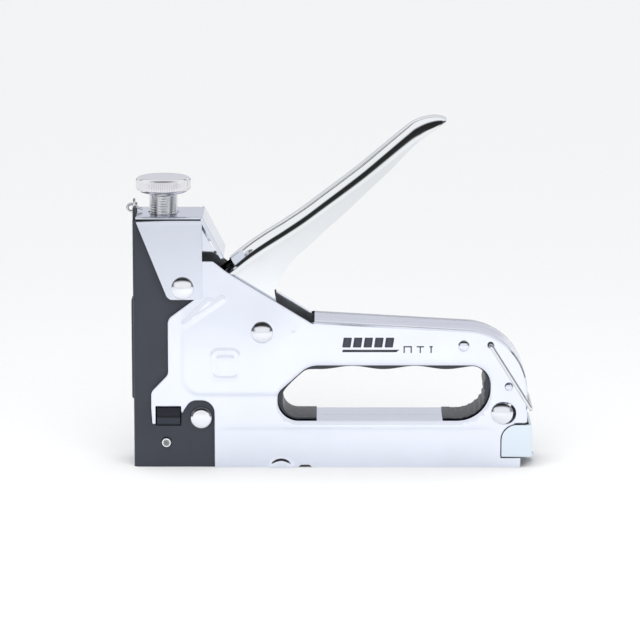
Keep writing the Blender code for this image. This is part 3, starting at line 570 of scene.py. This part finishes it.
def shell_plan():
    """The pressing laid flat: points, triangles, heights, and the runs of points that carry a flange."""
    outer = wound(dense(rounded(SHELL_OUTLINE, 12), 1.5), 1)
    opening = wound(dense(rounded(FINGER_OPENING, 14), 1.5), -1)
    holes = [wound(circle(at, radius), -1) for at, radius in SHELL_HOLES]
    loops = [outer, opening, *holes]
    flanged = [[x > -7.1 and z > 17.6 for x, z in outer], [True] * len(opening)]
    flanged += [[False] * len(hole) for hole in holes]
    border = np.concatenate([np.array(loop) for loop in loops])
    starts = border
    ends = np.concatenate([np.roll(np.array(loop), -1, axis=0) for loop in loops])
    flags = np.concatenate([np.array(f) & np.roll(np.array(f), -1) for f in flanged])
    offsets = []
    for loop in loops:
        for step in (0.06, 0.3, 0.62, 0.9):
            ring = np.array(loop) + left_normals(loop) * step
            offsets.append(ring[to_segments(ring, starts, ends) > step * 0.9])
    coarse = grid((-72, 78), (0, 84), 2.6)
    fine = grid((-62, -8), (27, 71), 0.62)
    lower = np.concatenate([grid((-27, -13), (0.6, 5.5), 0.6), grid((-44, 66), (15.0, 16.8), 0.6)])
    inner = np.concatenate([coarse, fine, lower])
    inner = inner[to_segments(inner, starts, ends) > 1.15]
    inner = inner[inside(inner, outer) & ~inside(inner, opening)]
    points = np.concatenate([border, *offsets, inner])
    edges = []
    base = 0
    for loop in loops:
        edges += [(base + k, base + (k + 1) % len(loop)) for k in range(len(loop))]
        base += len(loop)
    flat, _, triangles, origins, _, _ = geometry.delaunay_2d_cdt(
        [Vector(p) for p in points], edges, [], 0, 1e-5)
    where = {o: i for i, group in enumerate(origins) for o in group}
    flat = np.array([tuple(p) for p in flat])
    middles = np.array([flat[list(t)].mean(axis=0) for t in triangles])
    keep = inside(middles, outer)
    for loop in loops[1:]:
        keep &= ~inside(middles, loop)
    around = np.arange(len(border)) < len(outer)
    drop_outer = rim_drop(to_segments(flat, starts[flags & around], ends[flags & around]), *OUTER_RIM)
    drop_opening = rim_drop(to_segments(flat, starts[flags & ~around], ends[flags & ~around]), *OPENING_RIM)
    drop_plain = edge_drop(to_segments(flat, starts[~flags], ends[~flags]))
    heights = embossing(flat) - np.maximum(np.maximum(drop_outer, drop_opening), drop_plain)
    kept = [t for t, good in zip(triangles, keep) if good]
    runs = []
    base = 0
    for loop, marks in zip(loops[:2], flanged[:2]):
        indices = [where[base + k] for k in range(len(loop))]
        runs += [(indices[k], indices[(k + 1) % len(loop)]) for k in range(len(loop))
                 if marks[k] and marks[(k + 1) % len(loop)]]
        base += len(loop)
    return flat, kept, heights, runs


def grid(xs, zs, gap):
    """Points on a staggered lattice."""
    rows = []
    for j, z in enumerate(np.arange(zs[0], zs[1], gap * 0.87)):
        x = np.arange(xs[0] + (gap / 2 if j % 2 else 0), xs[1], gap)
        rows.append(np.stack([x, np.full(len(x), z)], axis=1))
    return np.concatenate(rows)


# Depths of the flange from the rim to the seam, and how far each row draws in towards the wall
FLANGE_ROWS = ((6.0, 0.0), (1.0, 0.0), (0.5, 0.02), (0.28, 0.06), (SEAM_HALF, 0.12))


def side_shell(side, word, plan):
    flat, triangles, heights, runs = plan
    mesh = bpy.data.meshes.new(f"shell_{word}")
    verts = [(x * MM, side * (SHELL_HALF + h) * MM, z * MM) for (x, z), h in zip(flat, heights)]
    faces = [tuple(t) for t in triangles]
    normals = {}
    for a, b in runs:
        along = Vector(flat[b]) - Vector(flat[a])
        inward = Vector((-along.y, along.x)).normalized()
        for index in (a, b):
            normals[index] = normals.get(index, Vector((0, 0))) + inward
    rows = {}
    for index, normal in normals.items():
        chain = [index]
        for depth, draw in FLANGE_ROWS:
            at = Vector(flat[index]) + normal.normalized() * draw
            chain.append(len(verts))
            verts.append((at.x * MM, side * depth * MM, at.y * MM))
        rows[index] = chain
    for a, b in runs:
        for i in range(len(rows[a]) - 1):
            faces.append((rows[a][i], rows[b][i], rows[b][i + 1], rows[a][i + 1]))
    mesh.from_pydata(verts, [], faces)
    shell = linked(bpy.data.objects.new(f"shell_{word}", mesh))
    shape = bmesh.new()
    shape.from_mesh(mesh)
    bmesh.ops.recalc_face_normals(shape, faces=shape.faces)
    facing = sum(f.normal.y * f.calc_area() for f in shape.faces if abs(f.normal.y) > 0.9)
    if facing * side < 0:
        bmesh.ops.reverse_faces(shape, faces=shape.faces)
    shape.to_mesh(mesh)
    shape.free()
    wall = shell.modifiers.new("Sheet", "SOLIDIFY")
    wall.thickness = SHEET * 0.9 * MM
    wall.offset = -1.0
    # The inner faces take the darker steel colour, painted shade for the inside of the body.
    wall.material_offset = 1
    mesh.materials.append(SHELL_CHROME)
    mesh.materials.append(INNER_STEEL_PAINTED_SHADE)
    settle(shell, 42)
    show(shell, SHELL_CHROME, "chrome", "frame", f"side_shell_{word}")


# Lever

def lever_bend(share, steps):
    """The bend from flange to crown as (inward, upward) offsets, at this share of the way to the tip."""
    points = [(0.0, 0.0)]
    slope = 0.0
    for target, root, tip in LEVER_BEND:
        length = (root + (tip - root) * share) / steps
        for k in range(steps):
            angle = math.radians(slope + (target - slope) * (k + 0.5) / steps)
            inward, upward = points[-1]
            points.append((inward + length * math.sin(angle), upward + length * math.cos(angle)))
        slope = target
    return points


def lever_rows(steps=5):
    """Sections of the lever's open channel from root to tip, closed down at the tip."""
    sections = [*eased(LEVER_SECTIONS, 8), (45.4, 138.4, 45.1, 137.8, 2.6)]
    rows = []
    for i, (cx, cz, ex, ez, half) in enumerate(sections):
        crown = Vector((cx, 0, cz))
        edge = Vector((ex, 0, ez))
        up = crown - edge
        depth = up.length
        bend = lever_bend(i / (len(sections) - 1), steps)
        scale = min(half / bend[-1][0], 0.94 * depth / bend[-1][1]) * 0.98
        flange = depth - bend[-1][1] * scale
        side = [(half, flange * k / 4) for k in range(4)]
        side += [(half - inward * scale, flange + upward * scale) for inward, upward in bend]
        profile = side + [(-w, r) for w, r in reversed(side)]
        rows.append([tuple(edge + up.normalized() * rise + Vector((0, -width, 0))) for width, rise in profile])
    return rows


def lever_handle():
    rows = lever_rows()
    lever = skin("squeeze_lever", rows, ring=False)
    shape = bmesh.new()
    shape.from_mesh(lever.data)
    # A window at the root, where the crown stops short of the two cheeks
    window = [f for f in shape.faces
              if f.calc_center_median().x < -40.6 * MM and abs(f.calc_center_median().y) < 6.5 * MM]
    bmesh.ops.delete(shape, geom=window, context="FACES")
    bmesh.ops.recalc_face_normals(shape, faces=shape.faces)
    if sum(f.normal.z * f.calc_area() for f in shape.faces) < 0:
        bmesh.ops.reverse_faces(shape, faces=shape.faces)
    shape.to_mesh(lever.data)
    shape.free()
    wall = lever.modifiers.new("Sheet", "SOLIDIFY")
    wall.thickness = SHEET * MM
    wall.offset = -1.0
    wall.use_even_offset = True
    for low in (-LEVER_HALF, LEVER_HALF - SHEET):
        ear = prism("ear", [rounded(EAR_SIDE, 14), circle(LEVER_PIVOT, 3.3)], low, low + SHEET, bevel=0.0)
        union = lever.modifiers.new("Ear", "BOOLEAN")
        union.operation = "UNION"
        union.object = ear
        union.solver = "EXACT"
    settle(lever, 35)
    for ear in [o for o in bpy.data.objects if o.name.startswith("ear")]:
        bpy.data.objects.remove(ear)
    show(lever, LEVER_CHROME, "chrome", "lever", "lever_handle")


# Grip liner

def liner_thickness(x, z, travel):
    """Wall of the grip liner: waves under the grip, swelling end walls, a thin floor with ribs at the rear."""
    wave = 1.35 + 0.65 * math.cos(TURN * (x - 20.5) / 25.0)
    peak, rise = (28.5, 1.5) if x < 20 else (33.0, 2.0)
    spread = 4.0 if z > peak else 6.5
    wall = 0.8 + rise * math.exp(-(((z - peak) / spread) ** 2))
    if x > 48 and z < 31:
        wall += 0.25 * (math.cos(TURN * travel / 2.9) - 1)
    under_grip = float(ease(38.5, 40.5, z) * ease(-13.0, -7.5, x))
    return wall + (wave - wall) * under_grip


def grip_liner():
    path = dense(rounded(FINGER_OPENING, 16), 0.8)
    first = min(range(len(path)), key=lambda i: math.dist(path[i], (-6.0, 18.5)))
    ordered = path[first:] + path[:first]
    kept = [p for p in ordered if not (-6.0 < p[0] < 44.0 and p[1] < 25)]
    outer = []
    inner = []
    travel = 0.0
    for i, (x, z) in enumerate(kept):
        ahead = kept[min(i + 1, len(kept) - 1)]
        behind = kept[max(i - 1, 0)]
        along = Vector((ahead[0] - behind[0], ahead[1] - behind[1])).normalized()
        normal = Vector((along.y, -along.x))
        travel += math.dist((x, z), ahead)
        wall = liner_thickness(x, z, travel)
        outer.append((x + normal.x * 0.3, z + normal.y * 0.3))
        inner.append((x + normal.x * wall, z + normal.y * wall))
    liner = prism("finger_liner", [outer + inner[::-1]], -LINER_HALF, LINER_HALF, bevel=0.22)
    show(liner, LINER_PLASTIC, "black_plastic", "frame", "grip_liner")


# Fasteners

def dome(head, rise, face, edge=0.45):
    """Half of a domed head from the axis to its underside, with a short upright edge."""
    crown = rise - edge
    sphere = (head * head + crown * crown) / (2 * crown)
    limit = math.asin(min(1.0, (head - 0.15) / sphere))
    profile = [(sphere * math.sin(limit * k / 12), face + edge + crown - sphere * (1 - math.cos(limit * k / 12)))
               for k in range(13)]
    return [*profile, (head, face + edge * 0.7), (head, face + 0.12), (head - 0.12, face)]


def flat_head(head, rise, face):
    """Half of a flat head with a bright chamfer ring."""
    return [(0.0, face + rise), (head - 1.1, face + rise), (head - 0.95, face + rise - 0.05),
            (head - 0.15, face + rise - 0.75), (head, face + rise - 0.95), (head, face + 0.1), (head - 0.1, face)]


def through_rivet(node, at, half_profile, shank, look=None):
    profile = [*half_profile, (shank, half_profile[-1][1])]
    profile += [(r, -h) for r, h in reversed(profile)]
    obj = turned(f"{node}_turned", profile, (at[0], 0, at[1]), "Y")
    show(obj, look or RIVET_CHROME, "chrome", "frame", node)


def one_side(node, profile, at, side, look, slot):
    obj = turned(f"{node}_turned", [(r, side * h) for r, h in profile], (at[0], 0, at[1]), "Y", 56)
    show(obj, look, slot, "frame", node)


def fasteners():
    through_rivet("lever_rivet", LEVER_PIVOT, dome(4.4, 2.2, SHELL_HALF + 0.3), 3.0)
    through_rivet("rear_rivet", REAR_RIVET, dome(4.4, 2.0, SHELL_HALF + 0.3), 2.6)
    through_rivet("nose_rivet", NOSE_RIVET, flat_head(4.4, 1.4, 11.8), 2.6)
    through_rivet("grip_pin", GRIP_PIN, dome(2.2, 1.1, SHELL_HALF + 0.3, 0.2), 1.3, SHELL_CHROME)
    through_rivet("rear_pin", REAR_PIN, dome(1.5, 0.8, SHELL_HALF + 0.3, 0.2), 1.0, SHELL_CHROME)
    tube = [(1.1, 7.3), (1.9, 7.3), (1.9, 12.1), (1.75, 12.3), (1.25, 12.3), (1.1, 12.15), (1.1, 7.3)]
    for side, word in ((-1, "near"), (1, "far")):
        head = [*dome(4.4, 1.9, BRACKET_HALF + 0.3), (2.6, BRACKET_HALF + 0.3), (2.6, 9.9), (0.0, 9.9)]
        one_side(f"bracket_rivet_{word}", head, BRACKET_RIVET, side, RIVET_CHROME, "chrome")
        one_side(f"roll_pin_{word}", tube, ROLL_PIN, side, WIRE_CHROME, "chrome")


# Tension adjuster

THREAD_PITCH = 1.0
THREAD_DEPTH = 0.42
KNURLS = 92


def thread(radius, height, angle):
    """Rounded V thread, cut full depth on the stem's full-radius rings."""
    if radius < SCREW_RADIUS - 0.01:
        return radius
    phase = (height / THREAD_PITCH - angle / TURN) % 1.0
    return radius - THREAD_DEPTH * 0.5 * (1 + math.cos(TURN * phase))


def tension_screw():
    foot, top = 93.5, KNOB_FOOT - 0.3
    rows = round((top - foot) * 8)
    threads = [(SCREW_RADIUS, top - (top - foot) * k / rows) for k in range(rows + 1)]
    profile = [(0.0, top), *threads, (SCREW_RADIUS - 0.6, foot - 0.2), (0.0, foot - 0.2)]
    screw = turned("threaded_stem", profile, (SCREW_X, 0, 0), "Z", 72, thread)
    show(screw, WIRE_CHROME, "chrome", "screw", "tension_screw")


def knurl(radius, height, angle):
    """Upright teeth on the knob's side band."""
    if radius < KNOB_RADIUS - 0.02:
        return radius
    return radius - 0.34 * (0.5 + 0.5 * math.cos(KNURLS * angle)) ** 1.5


def tension_knob():
    foot, top, r = KNOB_FOOT, KNOB_TOP, KNOB_RADIUS
    profile = [
        (0.0, top - 0.05), (8.6, top - 0.05), (9.3, top), (9.9, top - 0.12), (10.4, top - 0.42), (10.68, top - 0.8),
        (r, top - 0.95), (r, top - 2.0), (r, top - 3.4), (r, foot + 2.1), (10.75, foot + 1.7), (10.35, foot + 1.05),
        (9.6, foot + 0.5), (8.6, foot + 0.15), (7.6, foot), (0.0, foot),
    ]
    knob = turned("knurled_knob", profile, (SCREW_X, 0, 0), "Z", KNURLS * 6, knurl)
    show(knob, KNOB_CHROME, "chrome", "screw", "tension_knob")


# Wires and springs

def coil(centre, radius, start, end, turns, axis, per_turn=28, start_turn=0.0):
    """Points of a helix about an axis, from start to end along it."""
    points = []
    count = round(abs(turns) * per_turn)
    for k in range(count + 1):
        angle = TURN * (start_turn + turns * k / count)
        a = centre[0] + radius * math.cos(angle)
        b = centre[1] + radius * math.sin(angle)
        along = start + (end - start) * k / count
        points.append({"Z": (a, b, along), "Y": (a, along, b), "X": (along, a, b)}[axis])
    return points


def bail_wire():
    """Loop of wire hooked into both shells, its closed end behind the body."""
    x, z = BAIL_PIVOT
    end = Vector((79.4, 0, 23.7))
    side = Vector((0, -14.3, 0))
    pivot = Vector((x, 0, z))
    down = (end - pivot).normalized()
    bend = 1.7
    points = [Vector((x, -11.2, z)), Vector((x, -12.6, z))]
    for k in range(7):
        turn = math.pi / 2 * k / 6
        points.append(pivot + Vector((0, -13.2, 0)) + Vector((0, -1.1 * math.sin(turn), 0))
                      + down * 1.1 * (1 - math.cos(turn)))
    for k in range(9):
        turn = math.pi / 2 * k / 8
        points.append(end + side + Vector((0, bend * (1 - math.cos(turn)), 0)) - down * bend * (1 - math.sin(turn)))
    near = [tuple(p) for p in points]
    whole = near + [(px, -py, pz) for px, py, pz in reversed(near)]
    show(wire("locking_bail", whole, 0.75, 5), WIRE_CHROME, "chrome", "bail", "bail_wire")


def hook_spring():
    """Torsion spring in the notch at the top of the nose: one leg stands up, the other lies on the bracket."""
    turns = coil((-80.0, 103.0), 1.4, -1.3, 1.3, -1.75, "Y", 28)
    upright = [(-78.6, -1.3, 107.0), (-78.6, -1.3, 104.4)]
    resting = eased([turns[-1], (-79.2, 1.3, 104.25), (-78.2, 1.3, 103.7), (-77.2, 1.3, 102.9), (-75.5, 1.3, 102.3)])
    points = [*upright, *turns[:-1], *resting]
    show(wire("hook_spring_wire", points, 0.5, 4), WIRE_CHROME, "spring_steel", "frame", "hook_spring")


def springs():
    main = coil((SCREW_X, 0), 6.5, 53.4, 89.4, 6.5, "Z")
    show(wire("drive_spring", main, 0.9, 4), SPRING_STEEL, "spring_steel", "frame", "main_spring")
    x, z = LEVER_PIVOT
    turns = coil(LEVER_PIVOT, 6.3, -7.6, -4.2, 2.5, "Y", 28, 0.25)
    torsion = [(x - 9, -7.6, z + 6.3), *turns, (x + 11, -4.2, z - 6.3)]
    show(wire("lever_spring", torsion, 0.6, 3), SPRING_STEEL, "spring_steel", "frame", "return_spring")
    feed = coil((0, 6.6), 2.3, -37.0, 69.0, 22, "X", 20)
    show(wire("feed_spring", feed, 0.35, 2), SPRING_STEEL, "spring_steel", "rail", "pusher_spring")


# Staples

STAPLE_PITCH = 0.72


def staple_strip():
    """A stick of glued wire staples, each leg chisel-cut at its foot."""
    half, top, foot, thick = 5.4, 12.5, 3.2, 0.62
    section = [
        (-half, foot, 0), (-half, top, 0.55), (half, top, 0.55), (half, foot, 0), (half - thick, foot + 0.6, 0),
        (half - thick, top - 0.62, 0.25), (-half + thick, top - 0.62, 0.25), (-half + thick, foot + 0.6, 0),
    ]
    loop = rounded(section, 6)
    verts = []
    faces = []
    count = round(26.0 / STAPLE_PITCH)
    for i in range(count):
        x = -75.6 + i * STAPLE_PITCH
        # Three loops across each wire make its rounded back
        levels = ((0.0, 0.93), (0.12, 1.0), (STAPLE_PITCH - 0.14, 1.0), (STAPLE_PITCH - 0.02, 0.93))
        base = len(verts)
        for step, grow in levels:
            verts += [((x + step) * MM, y * (0.985 + 0.015 * grow) * MM, (7.9 + (z - 7.9) * (0.985 + 0.015 * grow)) * MM)
                      for y, z in loop]
        n = len(loop)
        for level in range(3):
            for k in range(n):
                a = base + level * n + k
                b = base + level * n + (k + 1) % n
                faces.append((a, b, b + n, a + n))
        faces.append(tuple(range(base + n - 1, base - 1, -1)))
        faces.append(tuple(range(base + 3 * n, base + 4 * n)))
    mesh = bpy.data.meshes.new("staple_stick")
    mesh.from_pydata(verts, [], faces)
    obj = settle(weld(linked(bpy.data.objects.new("staple_stick", mesh)), 1e-7), 30)
    show(obj, STAPLE_WIRE, "spring_steel", "frame", "staple_strip")


# Printing on the near shell

def stroke(a, b, width):
    """A straight printed stroke as a loop."""
    along = (Vector(b) - Vector(a)).normalized() * width / 2
    across = Vector((-along.y, along.x))
    corners = (Vector(a) - along + across, Vector(a) - along - across,
               Vector(b) + along - across, Vector(b) + along + across)
    return [tuple(c) for c in corners]


def printing():
    """A plain block mark with an underline, and small pictures of a staple, a T-brad and a pin."""
    shapes = [rounded([(x, 48.9, 0.3), (x + 3.3, 48.9, 0.3), (x + 3.9, 52.9, 0.3), (x + 0.6, 52.9, 0.3)], 6)
              for x in (4.0, 8.2, 12.4, 16.6, 20.8)]
    shapes.append([(4.0, 47.0), (25.4, 47.0), (26.8, 48.0), (4.2, 48.0)])
    strokes = [
        ((28.6, 49.2), (31.4, 49.2)), ((28.6, 49.2), (28.6, 46.9)), ((31.4, 49.2), (31.4, 46.9)),
        ((33.8, 49.2), (36.2, 49.2)), ((35.0, 49.2), (35.0, 46.9)),
        ((38.9, 49.2), (39.7, 49.2)), ((39.3, 49.2), (39.3, 46.9)),
    ]
    shapes += [stroke(a, b, 0.5) for a, b in strokes]
    marks = [prism(f"mark_{i}", [loop], -SHELL_HALF - 0.03, -SHELL_HALF + 0.05) for i, loop in enumerate(shapes)]
    mesh = bpy.data.meshes.new("printed_marks")
    shape = bmesh.new()
    for mark in marks:
        shape.from_mesh(mark.data)
        bpy.data.objects.remove(mark)
    shape.to_mesh(mesh)
    shape.free()
    show(linked(bpy.data.objects.new("printed_marks", mesh)), PRINT_INK, "dark_paint", "frame")


# Pieces that keep their CAD shape, with softened edges

def finished_nodes():
    looks = {
        "front_housing": (NOSE_PAINT, "dark_paint", 0.25), "cap_bracket": (BRACKET_CHROME, "chrome", 0.35),
        "spring_guard": (SHELL_CHROME, "chrome", 0.15), "pull_cap": (CAP_CHROME, "chrome", 0.22),
        "latch_tab": (CAP_CHROME, "chrome", 0.2), "bumper_block": (BUMPER_RUBBER_PAINTED_SHADE, "rubber", 0.25),
        "hammer_block": (ZINC_STEEL, "raw_steel", 0.2), "striker_blade": (SPRING_STEEL, "spring_steel", 0.1),
        "lever_arm": (ZINC_STEEL, "raw_steel", 0.25), "lever_bush_near": (ZINC_STEEL, "raw_steel", 0.2),
        "lever_bush_far": (ZINC_STEEL, "raw_steel", 0.2), "thread_bush": (ZINC_STEEL, "raw_steel", 0.3),
        "spring_seat": (ZINC_STEEL, "raw_steel", 0.25), "magazine_channel": (ZINC_STEEL, "raw_steel", 0.15),
        "pusher_rail": (ZINC_STEEL, "raw_steel", 0.15), "pusher": (ZINC_STEEL, "raw_steel", 0.15),
        "guide_rod": (ZINC_STEEL, "raw_steel", 0.1), "latch_pin": (ZINC_STEEL, "raw_steel", 0.1),
    }
    for node, (look, slot, bevel) in looks.items():
        refined(node, look, slot, bevel)


# Studio

CAMERA_TARGET = Vector((-0.0048, 0.0, 0.0575))
CAMERA_ELEVATION = math.radians(11)
CAMERA_DISTANCE = 1.5
CAMERA_LENS = 211
SUN_STRENGTH = 1.6
FILL_POWER = 0.5
FILL_PLACE = Vector((0.0, -0.22, 0.3))
FILL_AIM = Vector((0.0, -0.03, 0.0))


def camera():
    data = bpy.data.cameras.new("camera")
    data.lens = CAMERA_LENS
    data.sensor_width = 36
    view = linked(bpy.data.objects.new("camera", data))
    back = Vector((0, -math.cos(CAMERA_ELEVATION), math.sin(CAMERA_ELEVATION)))
    view.location = CAMERA_TARGET + back * CAMERA_DISTANCE
    view.rotation_euler = (math.pi / 2 - CAMERA_ELEVATION, 0, 0)
    bpy.context.scene.camera = view


def studio_world():
    """A white room with a dark ceiling towards the camera and a bright soft box over the back."""
    world = bpy.data.worlds.new("studio")
    bpy.context.scene.world = world
    world.use_nodes = True
    tree = world.node_tree
    direction = add(tree, "TexCoord").outputs["Generated"]
    parts = add(tree, "SeparateXYZ", {"Vector": direction}).outputs
    forward = add(tree, "Math", {0: parts["Y"], 1: -1.0}, operation="MULTIPLY").outputs[0]
    arc = add(tree, "Math", {0: parts["Z"], 1: forward}, operation="ARCTAN2").outputs[0]
    share = add(tree, "Math", {0: arc, 1: math.pi}, operation="DIVIDE").outputs[0]
    room = ramp(tree, share, [
        (0.0, 1.0), (0.19, (0.98, 0.99, 1.0)), (0.245, 0.03), (0.46, 0.02), (0.52, (0.96, 0.98, 1.0)),
        (0.735, 1.0), (0.75, 0.1), (0.766, 0.1), (0.784, 1.0), (0.797, 0.3), (0.81, 0.35), (0.826, 1.0),
        (0.85, 0.96), (0.9, (0.70, 0.71, 0.76)),
    ])
    across = add(tree, "Math", {0: parts["X"]}, operation="ABSOLUTE").outputs[0]
    sideways = add(tree, "MapRange", {"Value": across, "From Min": 0.75, "From Max": 0.9}).outputs["Result"]
    mixed = add(tree, "MixRGB", {"Fac": sideways, "Color1": room, "Color2": (0.11, 0.115, 0.13, 1.0)})
    background = tree.nodes["Background"]
    tree.links.new(mixed.outputs["Color"], background.inputs["Color"])
    background.inputs["Strength"].default_value = 1.0


def overhead_sun():
    """A wide soft sun that lifts matt surfaces evenly and stays out of the plating's reflections."""
    data = bpy.data.lights.new("overhead_sun", "SUN")
    data.angle = math.radians(90)
    data.energy = SUN_STRENGTH
    sun = linked(bpy.data.objects.new("overhead_sun", data))
    sun.rotation_euler = (math.radians(32), math.radians(-10), 0)
    sun.visible_glossy = False


def front_fill():
    """A small low light in front that lifts the floor and the matt nose near the foot."""
    data = bpy.data.lights.new("front_fill", "AREA")
    data.size = 0.4
    data.energy = FILL_POWER
    fill = linked(bpy.data.objects.new("front_fill", data))
    fill.location = FILL_PLACE
    fill.rotation_euler = (FILL_AIM - FILL_PLACE).to_track_quat("-Z", "Y").to_euler()
    fill.visible_glossy = False


def floor():
    mesh = bpy.data.meshes.new("floor")
    shape = bmesh.new()
    bmesh.ops.create_grid(shape, x_segments=8, y_segments=8, size=4.0)
    shape.to_mesh(mesh)
    shape.free()
    made, tree, shader = surface("floor_paper", 0.0)
    shader.inputs["Specular IOR Level"].default_value = 0.0
    shader.inputs["Roughness"].default_value = 1.0
    paper = noise(tree, (1, 1, 1), 300, 3.0)
    shades = [(0.3, (0.93, 0.935, 0.94)), (0.7, (0.95, 0.95, 0.95))]
    tree.links.new(ramp(tree, paper, shades), shader.inputs["Base Color"])
    mesh.materials.append(made)
    linked(bpy.data.objects.new("floor", mesh))


def studio():
    studio_world()
    overhead_sun()
    front_fill()
    floor()
    camera()
    bpy.context.scene.view_settings.view_transform = "Standard"


def pieces():
    plan = shell_plan()
    side_shell(-1, "near", plan)
    side_shell(1, "far", plan)
    lever_handle()
    grip_liner()
    fasteners()
    tension_screw()
    tension_knob()
    bail_wire()
    hook_spring()
    springs()
    staple_strip()
    printing()
    finished_nodes()


studio()
pieces()
